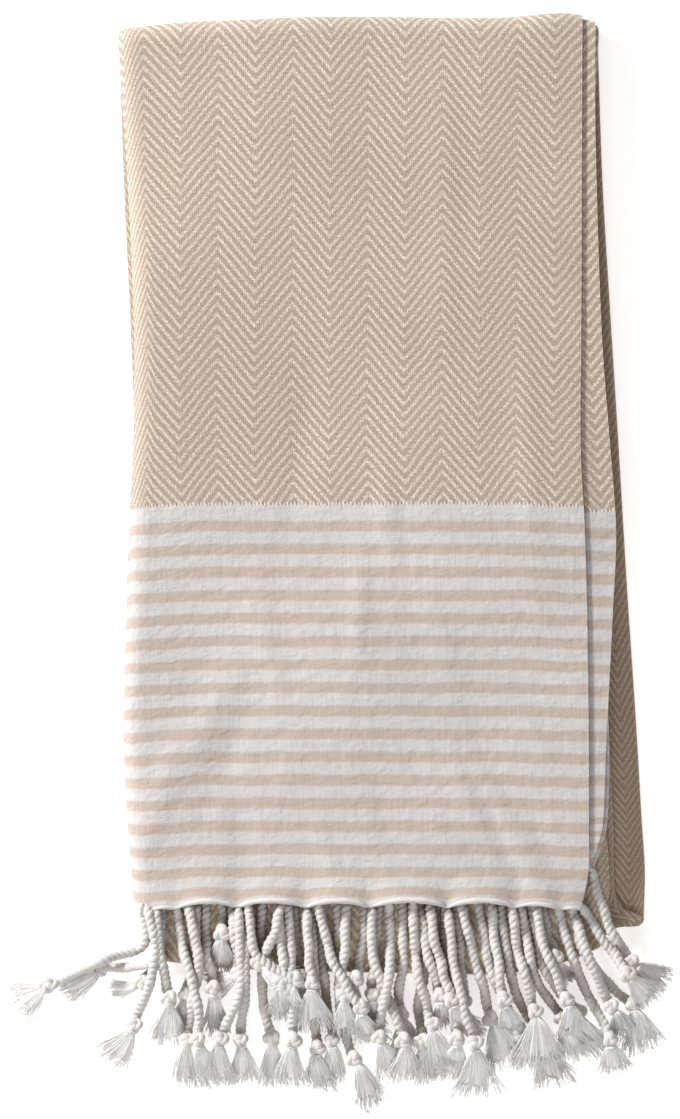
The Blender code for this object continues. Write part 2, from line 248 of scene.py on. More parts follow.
def across_the_stack(edges, at):
    """x and depth of every column of the grid, one row for each place along the towel."""
    left, flap, second, fold = (read_line(edges, at, i)[:, None] for i in (1, 2, 3, 4))
    tight = LAYER_PITCH / 2
    outer_end, right_end = left + LEFT_FOLD_REACH, fold - tight
    spent = (flap - outer_end) + LEFT_FOLD_LENGTH + (right_end - outer_end) + math.pi * 2 * tight
    inner_end = (right_end + second + spent - CLOTH_WIDTH) / 2
    even = np.linspace(0, 1, FLAP_COLUMNS + 1)[:-1]
    crowded = 1 - (1 - np.linspace(0, 1, BACK_PANEL_COLUMNS + 1)[:-1]) ** CROWDING
    crowded_last = 1 - (1 - np.linspace(0, 1, LAST_PANEL_COLUMNS + 1)) ** CROWDING
    wide_turn = np.linspace(0, math.pi, LEFT_FOLD_COLUMNS + 1)[:-1]
    tight_turn = np.linspace(0, math.pi, TIGHT_FOLD_COLUMNS + 1)[:-1]
    columns = [
        flap + (outer_end - flap) * even,
        outer_end - LEFT_FOLD_REACH * np.sin(wide_turn) ** 0.8,
        outer_end + (right_end - outer_end) * crowded,
        right_end + tight * np.sin(tight_turn),
        right_end + (inner_end - right_end) * (1 - crowded[::-1]),
        inner_end - tight * np.sin(tight_turn),
        inner_end + (second - inner_end) * crowded_last,
    ]
    depths = [
        0 * even,
        1.5 - 1.5 * np.cos(wide_turn),
        3 + 0 * crowded,
        2.5 + 0.5 * np.cos(tight_turn),
        2 + 0 * crowded,
        1.5 + 0.5 * np.cos(tight_turn),
        1 + 0 * crowded_last,
    ]
    return np.hstack(columns), np.concatenate(depths)[None, :] + 0 * left


def crease_lift(x, y):
    lift = np.zeros_like(x)
    for across, along, half_width, half_length, turn, height in CREASES:
        c, s = math.cos(math.radians(turn)), math.sin(math.radians(turn))
        dx, dy = x / MM - across, y / MM - along
        a, b = (dx * c + dy * s) / half_width, (dy * c - dx * s) / half_length
        lift += CREASE_DEPTH * height * MM * np.exp(-a * a - b * b)
    return lift


def hem_arch(x):
    """How far the hem rises between the pairs of cords, as a share of its highest arch."""
    ties = np.array(HEM_TIES) * MM
    i = np.clip(np.searchsorted(ties, x) - 1, 0, len(ties) - 2)
    share = np.clip((x - ties[i]) / (ties[i + 1] - ties[i]), 0, 1)
    size = np.clip((ties[i + 1] - ties[i]) / HEM_ARCH_SPAN, *HEM_ARCH_SIZES)
    return size * (1 - (2 * share - 1) ** 2) ** 0.75


# Each stretch of the cloth's length, with the table of its edges and its rows in the grid.
STRETCHES = (
    (front_run, FRONT_EDGES, 140),
    (top_fold, FRONT_EDGES, 16),
    (back_run, BACK_EDGES, 52),
    (bottom_fold, BACK_EDGES, 12),
    (inner_run, INNER_EDGES, 56),
)

xs, depths, ys, zs, fronts = [], [], [], [], []
for stretch, edges, steps in STRETCHES:
    last = stretch is inner_run
    share = np.arange(steps + last) / steps
    at = stretch(share, np.zeros(len(share)))[0]
    x, depth = across_the_stack(edges, at)
    y, z = stretch(share[:, None], depth)
    xs.append(x)
    depths.append(depth)
    ys.append(y + 0 * x)
    zs.append(z + 0 * x)
    fronts.append(np.full_like(x, stretch is front_run))
x, depth, y, z, front = (np.vstack(a) for a in (xs, depths, ys, zs, fronts))

# The cloth's own coordinates in metres: across from the top panel's selvedge, along from the hem.
step_across = np.hypot(np.diff(x, axis=1), np.diff(depth, axis=1) * LAYER_PITCH)
u = np.hstack([np.zeros((len(x), 1)), np.cumsum(step_across, axis=1)])
step_along = np.hypot(np.diff(y, axis=0), np.diff(z, axis=0))
v = np.vstack([np.zeros((1, x.shape[1])), np.cumsum(step_along, axis=0)])
apex_row = STRETCHES[0][2] + STRETCHES[1][2] // 2
v = v - v[apex_row] + HEM_TO_TOP_FOLD

# The herringbone keeps to the fold and the selvedge that show beside it, and hidden cloth takes up
# the rest. It is drawn together near that fold, and again where the stack rounds over at the left.
FOLD_PLACE = 497.8 * MM
SELVEDGE_PLACE = 961.7 * MM
PULLED = 0.5
PULLED_REACH = 34 * MM
ROUND_PULL = 1.3
ROUND_PULL_MARGIN = 1 * MM
fold_column = FLAP_COLUMNS + LEFT_FOLD_COLUMNS + BACK_PANEL_COLUMNS + TIGHT_FOLD_COLUMNS // 2
to_fold = FOLD_PLACE - u[:, fold_column : fold_column + 1]
to_selvedge = SELVEDGE_PLACE - u[:, -1:]
near_fold = between(u, 300, 420)
near_selvedge = between(u, 650, 800)
u = u + to_fold * near_fold + (to_selvedge - to_fold) * near_selvedge
pulled = PULLED * np.clip(u - FOLD_PLACE, -PULLED_REACH, PULLED_REACH)
pulled = pulled * near_fold * (1 - near_selvedge)
rounding = read_line(FRONT_EDGES, y, 1) + LEFT_ROUND + ROUND_PULL_MARGIN - x
rounding = np.clip(rounding, 0, LEFT_ROUND) * (depth < 2)
u = u + pulled + ROUND_PULL * np.maximum.accumulate(rounding, axis=1) * (1 - near_fold)

# Then it is laid as uneven as it lies: creases, the sag beside the selvedge, and its cross folds.
lowest, highest = layer_height(3), layer_height(FRONT_TOP_LAYER)
above = np.clip((z - lowest) / (highest - lowest), 0, None)
lift = crease_lift(x, y) * above
flap_x = read_line(FRONT_EDGES, y, 2)
sag = eased((x - flap_x + 3 * MM) / DROOP_WIDTH)
sag *= between(y, -120, -40) * between(y, 250, 190)
from_hem = np.clip(v, 0, None)
arch = hem_arch(x) * front
levelled = math.pi / 2 * (top_radius(0) - top_radius(depth)) + HEM_STEP_BACK * np.clip(depth, 0, 1)
y = y + levelled * front * between(y - y[0, 0], 200, 0)
side_sag = LEFT_SAG * between(x, -70, -115) + RIGHT_SAG * between(x, 92, 132)
y = y - side_sag * front * between(y, 240, 40)
corner_share = eased((x - CORNER_FROM) / CORNER_WIDTH)
corner_share *= eased((y[0, 0] + CORNER_FADE - y) / CORNER_FADE)
y = y + CORNER_RISE * corner_share * front * np.clip(depth, 0, 1)
z = z + lift - DROOP * sag * front
past_left = (read_line(FRONT_EDGES, y, 1) + LEFT_ROUND - x) / LEFT_ROUND
past_left = np.clip(past_left, 0, LEFT_ROUND_MOST)
z = z - LEFT_DROP * past_left**2 * (z - layer_height(0)) / (highest - layer_height(0))
past_right = np.clip((x - RIGHT_SINK_FROM) / RIGHT_SINK_WIDTH, 0, 1)
sink = RIGHT_SINK + RIGHT_SINK_PER_LAYER * (z - layer_height(2)) / LAYER_PITCH
z = z - sink * past_right * (2 - past_right) * (1 - front) * between(y, 240, 180)
y = y + read_line(TOP_LINE, x) * eased((y - TOP_FOLD_Y + LINE_FADE) / LINE_FADE)
near_bottom = eased((BOTTOM_FOLD_Y + LINE_FADE - y) / LINE_FADE) * (1 - front)
y = y + read_line(BOTTOM_LINE, x) * near_bottom
y = y + HEM_ARCH * arch * np.clip(1 - from_hem / HEM_FADE, 0, 1) ** 2
z = z + HEM_LIP * arch * np.clip(1 - from_hem / HEM_LIP_WIDTH, 0, 1) ** 1.5 * (depth < 0.5)

points = np.stack([x, y, z], axis=2).reshape(-1, 3)
grid_rows, grid_columns = x.shape
corner = np.arange(grid_rows * grid_columns).reshape(grid_rows, grid_columns)
sides = [corner[:-1, :-1], corner[1:, :-1], corner[1:, 1:], corner[:-1, 1:]]
faces = np.stack(sides, axis=2).reshape(-1, 4)
mesh = bpy.data.meshes.new("towel_cloth_woven")
mesh.from_pydata(points.tolist(), [], faces.tolist())
layer = mesh.uv_layers.new(name="cloth")
loops = np.empty(len(mesh.loops), np.int32)
mesh.loops.foreach_get("vertex_index", loops)
coordinates = np.stack([u.reshape(-1), v.reshape(-1)], axis=1)[loops]
layer.data.foreach_set("uv", coordinates.reshape(-1).astype(np.float32))
mesh.shade_smooth()
cloth = bpy.data.objects.new("towel_cloth_woven", mesh)
bpy.context.scene.collection.objects.link(cloth)
bpy.ops.object.select_all(action="DESELECT")
cloth.select_set(True)
bpy.context.view_layer.objects.active = cloth
wall = cloth.modifiers.new("woven thickness", "SOLIDIFY")
wall.thickness = CLOTH_THICK
wall.offset = 0
bpy.ops.object.modifier_apply(modifier=wall.name)
RIM_ANGLE = math.radians(50)
cloth.data.set_sharp_from_angle(angle=RIM_ANGLE)


class Recipe:
    """A material's node tree, with one short call for each kind of node."""

    def __init__(self, name):
        self.material = bpy.data.materials.new(name)
        self.material.use_nodes = True
        self.tree = self.material.node_tree
        self.shader = self.tree.nodes["Principled BSDF"]

    def node(self, kind, **settings):
        made = self.tree.nodes.new(kind)
        for key, value in settings.items():
            setattr(made, key, value)
        return made

    def feed(self, socket, value):
        if hasattr(value, "is_output"):
            self.tree.links.new(value, socket)
        else:
            socket.default_value = value

    def math(self, operation, *values, clamp=False):
        made = self.node("ShaderNodeMath", operation=operation, use_clamp=clamp)
        for socket, value in zip(made.inputs, values):
            self.feed(socket, value)
        return made.outputs[0]

    def added(self, start, *parts):
        """A starting value, plus each part by its own weight."""
        for value, weight in parts:
            start = self.math("ADD", start, self.math("MULTIPLY", value, weight))
        return start

    def centred(self, value):
        return self.math("SUBTRACT", value, 0.5)

    def steps(self, value, low, high, to_low=0.0, to_high=1.0):
        made = self.node("ShaderNodeMapRange", interpolation_type="SMOOTHSTEP")
        for name, given in (("Value", value), ("From Min", low), ("From Max", high)):
            self.feed(made.inputs[name], given)
        made.inputs["To Min"].default_value = to_low
        made.inputs["To Max"].default_value = to_high
        return made.outputs["Result"]

    def mix(self, share, first, second):
        made = self.node("ShaderNodeMix", data_type="RGBA")
        self.feed(made.inputs[0], share)
        for socket, colour in ((made.inputs[6], first), (made.inputs[7], second)):
            self.feed(socket, (*colour, 1.0) if isinstance(colour, tuple) else colour)
        return made.outputs[2]

    def scaled(self, colour, factor):
        made = self.node("ShaderNodeVectorMath", operation="SCALE")
        self.feed(made.inputs[0], colour)
        self.feed(made.inputs["Scale"], factor)
        return made.outputs[0]

    def noise(self, vector, scale, detail=2.0, roughness=0.5):
        made = self.node("ShaderNodeTexNoise", noise_dimensions="3D")
        self.feed(made.inputs["Vector"], vector)
        made.inputs["Scale"].default_value = scale
        made.inputs["Detail"].default_value = detail
        made.inputs["Roughness"].default_value = roughness
        return made.outputs["Fac"]

    def stretched(self, vector, *scale):
        return self.times(vector, scale)

    def times(self, first, second):
        made = self.node("ShaderNodeVectorMath", operation="MULTIPLY")
        self.feed(made.inputs[0], first)
        self.feed(made.inputs[1], second)
        return made.outputs[0]

    def complete(self, colour, relief, surface, bump_strength, bump_depth):
        """Feeds the shader: colour, a dull surface with a little sheen, and a fine bump."""
        self.feed(self.shader.inputs["Base Color"], colour)
        for name, value in surface.items():
            self.shader.inputs[name].default_value = value
        bump = self.node("ShaderNodeBump")
        bump.inputs["Strength"].default_value = bump_strength
        bump.inputs["Distance"].default_value = bump_depth
        self.feed(bump.inputs["Height"], relief)
        self.feed(self.shader.inputs["Normal"], bump.outputs[0])


# Colours of the yarns, and the sizes of the herringbone and the stripes in millimetres.
BODY_GROUND = (0.425, 0.342, 0.270)
BODY_LINE = (0.700, 0.600, 0.500)
BAND_WHITE = (0.590, 0.572, 0.560)
BAND_BEIGE = (0.515, 0.425, 0.360)
# Painted shade for cloth low in the stack, and the heights over which it fades out.
LOW_PAINTED_SHADE = (0.82, 0.765, 0.70)
LOW_TO_TOP = (8 * MM, 18 * MM)
REPEAT_ACROSS = 40.85
LINE_PITCH = 6.1
LINE_SLOPE = 1.2
LINE_EDGE = (0.32, 0.08)
THREAD = 1.15
PICK = 1.03
STEPPED = 0.7
VALLEY_AT = 14.5
FAINT_ARM = 0.78
BAND_DEPTH = 220.2
HEADING_FROM = BAND_DEPTH - 8.6
HEADING_TO = BAND_DEPTH - 8.2
STRIPE_PITCH = 12.61
STRIPE_EDGE = (0.200, 0.325)
TICK_PITCH = 2.05
TICK = 0.8
CLOTH_SURFACE = {
    "Roughness": 0.88,
    "Specular IOR Level": 0.25,
    "Sheen Weight": 0.25,
    "Sheen Roughness": 0.45,
}
WEAVE_BUMP = 0.55
WEAVE_BUMP_DEPTH = 0.30 * MM

woven = Recipe("beige herringbone cotton")
uv_map = woven.node("ShaderNodeUVMap", uv_map="cloth").outputs[0]
in_mm = woven.stretched(uv_map, 1000.0, 1000.0, 1.0)
apart = woven.node("ShaderNodeSeparateXYZ")
woven.feed(apart.inputs[0], in_mm)
wobble = woven.centred(woven.noise(in_mm, 0.045, 2.0))
fine_wobble = woven.centred(woven.noise(in_mm, 0.5, 1.0))
across = woven.added(apart.outputs[0], (wobble, 1.6))
along = woven.added(apart.outputs[1], (wobble, 2.4))
from_end = woven.math("MINIMUM", along, woven.math("SUBTRACT", CLOTH_LENGTH / MM, along))

# Herringbone: light lines that fall to each valley and rise from it, stepped thread by thread.
threads = woven.math("MULTIPLY", woven.math("FLOOR", woven.math("DIVIDE", across, THREAD)), THREAD)
stepped = woven.added(0.0, (threads, STEPPED), (across, 1 - STEPPED))
turned = woven.math("PINGPONG", woven.math("SUBTRACT", stepped, VALLEY_AT), REPEAT_ACROSS / 2)
climb = woven.math("SUBTRACT", along, woven.math("MULTIPLY", turned, LINE_SLOPE))
climb = woven.math("ADD", climb, fine_wobble)
saw = woven.math("PINGPONG", woven.math("DIVIDE", climb, LINE_PITCH), 0.5)
line = woven.steps(saw, *LINE_EDGE)
# The yarns inside it: short floats along each line, and warp ends a millimetre apart.
floats = woven.math("SINE", woven.math("MULTIPLY", apart.outputs[0], 2 * math.pi / THREAD))
picks = woven.math("SINE", woven.math("MULTIPLY", apart.outputs[1], 2 * math.pi / PICK))
grain = woven.noise(in_mm, 0.85, 2.0, 0.75)
warp_streak = woven.noise(woven.stretched(in_mm, 1.1, 0.03, 1.0), 1.0, 2.0, 0.6)
weft_streak = woven.noise(woven.stretched(in_mm, 0.04, 1.5, 1.0), 1.0, 1.0, 0.6)
broad = woven.noise(in_mm, 0.012, 1.0)

# One arm of each chevron is a little fainter than the other, and the ground between lines darker.
from_valley = woven.math("SUBTRACT", across, VALLEY_AT)
repeat = woven.math("FRACT", woven.math("DIVIDE", from_valley, REPEAT_ACROSS))
arm = woven.added(FAINT_ARM, (woven.math("LESS_THAN", repeat, 0.5), 1 - FAINT_ARM))
line = woven.math("MULTIPLY", line, arm)
line_strength = woven.math("MULTIPLY", line, woven.steps(grain, 0.28, 0.60, 0.35, 1.0))
ground_dark = woven.steps(saw, 0.5, 0.3, 0.93, 1.0)
body = woven.mix(line_strength, BODY_GROUND, BODY_LINE)
body_tone = woven.added(0.22, (grain, 1.30), (floats, 0.045), (picks, 0.035))
body_tone = woven.math("MULTIPLY", body_tone, ground_dark)
body_tone = woven.added(body_tone, (woven.centred(warp_streak), 0.16))
body_tone = woven.math("ADD", body_tone, 0.13)
body = woven.scaled(body, body_tone)

# Striped band at each end, plain woven, with its white heading at the body.
stripe_place = woven.math("ADD", from_end, fine_wobble)
stripe_place = woven.added(stripe_place, (woven.centred(grain), 1.6))
stripe = woven.math("PINGPONG", woven.math("DIVIDE", stripe_place, STRIPE_PITCH), 0.5)
beige_share = woven.steps(stripe, *STRIPE_EDGE)
heading = woven.steps(from_end, HEADING_FROM, HEADING_TO)
beige_share = woven.math("MULTIPLY", beige_share, woven.math("SUBTRACT", 1.0, heading))
band = woven.mix(beige_share, BAND_WHITE, BAND_BEIGE)
band_parts = ((warp_streak, 0.30), (weft_streak, 0.14), (grain, 0.16))
band_tone = woven.added(1.0, *((woven.centred(part), weight) for part, weight in band_parts))
band = woven.scaled(band, band_tone)

# The body ends raggedly: every few warp ends a float runs a little way into the heading.
tick = woven.math("SINE", woven.math("MULTIPLY", across, 2 * math.pi / TICK_PITCH))
ragged = woven.added(from_end, (tick, TICK), (fine_wobble, 1.8))
in_body = woven.steps(ragged, BAND_DEPTH - 0.5, BAND_DEPTH + 0.9)
colour = woven.mix(in_body, band, body)
colour = woven.scaled(colour, woven.steps(broad, 0.3, 0.7, 0.96, 1.04))
# Painted shade: cloth low in the stack is darkened and warmed in its colour, for the shade it lies
# in and the light on it that has come off other cloth.
height = woven.node("ShaderNodeSeparateXYZ")
woven.feed(height.inputs[0], woven.node("ShaderNodeTexCoord").outputs["Object"])
near_top = woven.steps(height.outputs[2], *LOW_TO_TOP)
colour = woven.times(colour, woven.mix(near_top, LOW_PAINTED_SHADE, (1.0, 1.0, 1.0)))

# Relief: lines that stand up in the body, and in the band a plain weave that has crinkled.
body_relief = woven.added(0.0, (line, 0.60), (grain, 1.3), (floats, 0.12), (picks, 0.10))
weave = woven.math("MULTIPLY", floats, picks)
crinkle = woven.noise(woven.stretched(in_mm, 0.11, 0.17, 1.0), 1.0, 3.0, 0.62)
band_relief = woven.added(0.0, (weave, 0.16), (grain, 0.45), (warp_streak, 0.7), (crinkle, 7.5))
relief = woven.node("ShaderNodeMix", data_type="FLOAT")
woven.feed(relief.inputs[0], in_body)
woven.feed(relief.inputs[2], band_relief)
woven.feed(relief.inputs[3], body_relief)
woven.complete(colour, relief.outputs[0], CLOTH_SURFACE, WEAVE_BUMP, WEAVE_BUMP_DEPTH)
cloth.data.materials.append(woven.material)

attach(cloth, "root")
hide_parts("towel_cloth")

# ---------------------------------------------------------------------------------------------
# Front fringe. The cloth's white cotton warp ends are twisted by hand into two-ply cords, each tied
# in an overhand knot with its cut ends left as a tuft. A fine white roll edges the hem.

PLY_RADIUS = 2.22 * MM
TWIST_RADIUS = 0.84 * MM
TWIST_PITCH = 6.7 * MM
CORD_RADIUS = PLY_RADIUS + TWIST_RADIUS
CORD_SIDES = 7
CORD_STEP = 0.66 * MM
# Each cord starts thin at the hem, bends down from it, lies on what is there and bridges its dips.
# Where cords heap up past HEAP_FROM the heap is pressed flatter.
CORD_START = 0.45
CORD_FULL_AT = 5 * MM
SWAY = 0.8 * MM
HEM_ROW_RISE = 1.5
LEAVES_HEM = 7 * MM
SIDE_CLEAR = 0.2 * MM
FLOOR_CLEAR = 0.2 * MM
STIFF_SLOPE = 0.55
BRIDGING = 2.5 * MM
HEAP_FROM = 17 * MM
HEAP_MOST = 8 * MM
KNOT_SIZE = 0.98 * MM
KNOT_VARIES = 0.14
KNOT_CORD_RADIUS = 2.05 * MM
KNOT_CORD_SIDES = 8
KNOT_STEPS = 44
KNOT_CORE = (0.6, 2.0, 2.7, 2.9, 2.7, 2.0, 0.6)
KNOT_CORE_REACH = 3.2
KNOT_CORE_SIDES = 10
KNOT_TO_TUFT = 3.0 * MM
KNOT_RESTS = 3.4 * MM
KNOT_RAISES = 4.0 * MM
TUFT_STRANDS = 118
TUFT_RESTS = 2.0 * MM
TUFT_RAISES = 2.6 * MM
# The solid body of a tuft's brush: half width and thickness at its root, the share of the tuft's
# spread and length that it fills, how much it thins to its tip, and its locks (how many, how deep).
BRUSH_ROOT = 2.2 * MM
BRUSH_SPREAD = 0.66
BRUSH_LENGTH = 0.74
BRUSH_THICK = 2.1 * MM
BRUSH_THINS = 0.55
BRUSH_TIP_THICK = 0.15 * MM
BRUSH_RAGGED = 2.2 * MM
BRUSH_LOCKS = ((7, 0.10), (12, 0.07))
BRUSH_RINGS = 11
BRUSH_SIDES = 30
BRUSH_FAN = 0.75
TUFT_BEND = 0.22
# The loose strands over it, as shares of the tuft: how far out and how long each may be.
STRAND_ROOT = 1.9 * MM
STRAND_OUT = 1.1
STRAND_LENGTHS = (0.72, 1.10)
STRAND_LIFTS = (0.3, 1.0)
STRAND_DRIFT = 0.12
STRAND_RADII = (0.36, 0.20)
STRAND_RINGS = 5
STRAND_SIDES = 3
HEM_ROLL = 0.75 * MM
HEM_ROLL_ARCH = 0.85 * MM
HEM_ROLL_RIPPLE = 0.22 * MM
HEM_ROLL_STEP = 1.6 * MM
HEM_ROLL_SIDES = 8
# Painted shade on the yarn: a point is darkened by how far it lies below the mean of the heights
# within COVER_REACH cells.
COVER_REACH = 6
COVER_DEPTH = 6.5 * MM

# Each cord in millimetres, from the hem to its tuft. Level 0 leaves the lowest hem and lies lowest.
Cord = namedtuple(
    "Cord", "level hem_x hem_y bend_x bend_y turn_x turn_y knot_x knot_y tip_x tip_y spread"
)
CORDS = (
    Cord(0, -94, -204, -98, -214, -102, -223, -107, -229, -123, -238, 5),
    Cord(1, -96, -188, -99, -214, -112, -221, -129, -222, -149, -239, 8),
    Cord(2, -107, -187, -106, -209, -128, -217, -158, -231, -178, -242, 11),
    Cord(2, -104, -187, -99, -211, -103, -230, -111, -253, -124, -275, 10),
    Cord(1, -100, -188, -97, -208, -95, -224, -92, -238, -92, -264, 10),
    Cord(2, -88, -187, -84, -213, -77, -236, -76, -260, -70, -287, 8),
    Cord(1, -82, -188, -76, -216, -79, -240, -82, -261, -86, -286, 7),
    Cord(0, -63, -189, -63, -195, -63, -198, -63, -202, -65, -223, 8),
    Cord(0, -58, -189, -56, -206, -54, -216, -54, -224, -69, -234, 8),
    Cord(0, -72, -189, -72, -208, -70, -220, -68, -232, -66, -258, 6),
    Cord(2, -54, -187, -53, -215, -54, -237, -64, -260, -67, -284, 8),
    Cord(1, -51, -188, -50, -216, -51, -238, -53, -261, -50, -285, 8),
    Cord(2, -49, -187, -46, -209, -38, -219, -23, -227, -30, -238, 9),
    Cord(0, -41, -189, -42, -214, -41, -238, -36, -261, -34, -287, 8),
    Cord(1, -30, -188, -35, -204, -40, -212, -43, -218, -25, -234, 8),
    Cord(0, -24, -189, -23, -205, -22, -216, -21, -226, -15, -242, 7),
    Cord(2, -17, -187, -16, -206, -15, -218, -14, -229, -15, -256, 11),
    Cord(2, -11, -187, -4, -213, 4, -229, 13, -242, 15, -263, 8),
    Cord(0, -8, -189, -9, -215, -6, -238, -3, -262, 0, -286, 8),
    Cord(0, -27, -189, -25, -220, -24, -244, -24, -261, -29, -285, 8),
    Cord(1, -14, -188, -13, -222, -12, -246, -11, -266, -13, -289, 8),
    Cord(2, 19, -187, 19, -214, 26, -232, 36, -261, 41, -282, 8),
    Cord(0, 15, -189, 14, -208, 12, -218, 10, -227, 5, -246, 7),
    Cord(2, 28, -187, 29, -214, 26, -236, 23, -259, 31, -281, 8),
    Cord(0, 36, -189, 36, -214, 34, -232, 35, -247, 40, -268, 8),
    Cord(0, 0, -189, 1, -225, 3, -255, 9, -272, 24, -296, 8),
    Cord(2, 41, -187, 43, -216, 48, -240, 52, -252, 55, -277, 10),
    Cord(1, 44, -188, 50, -216, 54, -228, 56, -236, 60, -255, 8),
    Cord(1, 59, -188, 59, -211, 63, -232, 65, -260, 66, -283, 8),
    Cord(0, 52, -189, 49, -215, 45, -238, 46, -262, 50, -285, 8),
    Cord(1, 67, -188, 76, -220, 82, -240, 84, -250, 97, -273, 12),
    Cord(2, 60, -187, 64, -222, 70, -245, 75, -262, 79, -292, 12),
    Cord(0, 76, -189, 84, -222, 93, -244, 99, -255, 104, -277, 8),
    Cord(2, 95, -187, 99, -212, 105, -234, 108, -245, 112, -276, 13),
    Cord(0, 89, -189, 94, -222, 102, -244, 113, -262, 119, -288, 11),
    Cord(1, 100, -188, 107, -222, 116, -240, 123, -250, 132, -270, 10),
    Cord(0, 105, -189, 112, -218, 121, -234, 132, -246, 138, -273, 11),
    Cord(2, 120, -187, 130, -220, 141, -243, 149, -260, 152, -280, 9),
    Cord(1, 127, -188, 138, -217, 147, -236, 150, -243, 159, -258, 8),
    Cord(0, 112, -189, 115, -203, 117, -209, 119, -215, 125, -231, 7),
    Cord(2, 133, -187, 146, -207, 154, -217, 158, -224, 172, -240, 9),
    Cord(1, 139, -168, 143, -183, 151, -203, 161, -219, 181, -233, 11),
    Cord(0, 130, -206, 140, -221, 152, -234, 162, -242, 170, -268, 11),
    Cord(0, -33, -189, -31, -205, -30, -216, -30, -228, -31, -250, 8),
    Cord(0, 5, -189, 4, -208, 3, -222, 4, -236, 4, -258, 8),
    Cord(0, 23, -189, 21, -206, 20, -220, 19, -236, 20, -258, 8),
    Cord(1, 50, -188, 53, -206, 57, -220, 62, -238, 70, -258, 8),
    Cord(0, 64, -189, 67, -208, 68, -222, 69, -240, 70, -262, 8),
    Cord(0, 84, -189, 86, -206, 88, -220, 91, -238, 95, -262, 8),
    Cord(1, 108, -188, 112, -206, 118, -222, 125, -238, 132, -256, 8),
    Cord(0, -77, -189, -78, -208, -80, -220, -83, -236, -86, -258, 7),
)

strewn = np.random.default_rng(11)

# The heights that a cord can lie on, a cell for each square millimetre, raised by every cord laid.
FIELD_LOW = (-215, -330)
FIELD_SIZE = (430, 175)
cell_x = (FIELD_LOW[0] + np.arange(FIELD_SIZE[0]))[:, None] * MM + np.zeros(FIELD_SIZE)
cell_y = (FIELD_LOW[1] + np.arange(FIELD_SIZE[1]))[None, :] * MM + np.zeros(FIELD_SIZE)
bottom_edge = BOTTOM_FOLD_Y - bottom_radius(0) + read_line(BOTTOM_LINE, cell_x)
field = np.zeros(FIELD_SIZE)
for edges, top_layer in ((INNER_EDGES, INNER_TOP_LAYER), (BACK_EDGES, 3)):
    beyond = np.maximum(bottom_edge - cell_y, read_line(edges, cell_y, 1) - cell_x)
    beyond = np.clip(np.maximum(beyond, cell_x - read_line(edges, cell_y, 4)), 0, None)
    run_top = layer_height(top_layer) + CLOTH_THICK / 2 + SIDE_CLEAR
    field = np.maximum(field, run_top * (1 - between(beyond, -1, 3)))


def length_along(path):
    return np.concatenate([[0], np.cumsum(np.linalg.norm(np.diff(path, axis=0), axis=1))])


def near_cells(at, reach):
    column, row = round(at[0] / MM) - FIELD_LOW[0], round(at[1] / MM) - FIELD_LOW[1]
    columns = slice(max(column - reach, 0), column + reach + 1)
    rows = slice(max(row - reach, 0), row + reach + 1)
    away = np.hypot(cell_x[columns, rows] - at[0], cell_y[columns, rows] - at[1])
    return columns, rows, away


def laid_on_field(route, radius, slope):
    """Heights of a cord's middle, resting on the field and bridging its dips."""
    needed = []
    for at in route:
        columns, rows, away = near_cells(at, 3)
        needed.append(np.where(away < radius * 0.8, field[columns, rows], 0).max() + radius)
    needed = np.array(needed)
    run = length_along(route)
    height = (needed[None, :] - slope * np.abs(run[None, :] - run[:, None])).max(axis=1)
    kernel = np.exp(-(((run[None, :] - run[:, None]) / BRIDGING) ** 2))
    height = (kernel * height[None, :]).sum(axis=1) / kernel.sum(axis=1)
    heaped = np.clip(height - HEAP_FROM, 0, None)
    return height - heaped + HEAP_MOST * np.tanh(heaped / HEAP_MOST)


def raise_field(points, radius):
    for at in points:
        columns, rows, away = near_cells(at[:2], 4)
        crown = at[2] + np.sqrt(np.clip(radius**2 - away**2, 0, None))
        field[columns, rows] = np.maximum(field[columns, rows], np.where(away < radius, crown, 0))


def cover_of(points):
    """How deep each point lies among what stands round it, as its share of painted shade: 0 in the
    open, 1 where it lies well under.
    """
    reach = range(-COVER_REACH, COVER_REACH + 1, 2)
    shifts = [(i, j) for i in reach for j in reach]
    around = sum(np.roll(field, shift, (0, 1)) for shift in shifts) / len(shifts)
    cells = np.round(points[:, :2] / MM).astype(int) - np.array(FIELD_LOW)
    columns, rows = np.clip(cells, 0, np.array(FIELD_SIZE) - 1).T
    return np.clip((around[columns, rows] - points[:, 2]) / COVER_DEPTH, 0, 1)


def through(corners, step):
    """A smooth line through its corners, with points a step apart."""
    corners = np.array(corners, float)
    ends = np.vstack([2 * corners[0] - corners[1], corners, 2 * corners[-1] - corners[-2]])
    t = np.linspace(0, 1, 40)[:-1, None]
    pieces = []
    for a, b, c, d in zip(ends, ends[1:], ends[2:], ends[3:]):
        squared, cubed = 2 * a - 5 * b + 4 * c - d, 3 * b - a - 3 * c + d
        pieces.append(0.5 * (2 * b + (c - a) * t + squared * t**2 + cubed * t**3))
    line = np.vstack(pieces + [corners[-1:]])
    run = length_along(line)
    at = np.linspace(0, run[-1], max(int(run[-1] / step), 4))
    return np.stack([np.interp(at, run, line[:, i]) for i in range(line.shape[1])], axis=1)


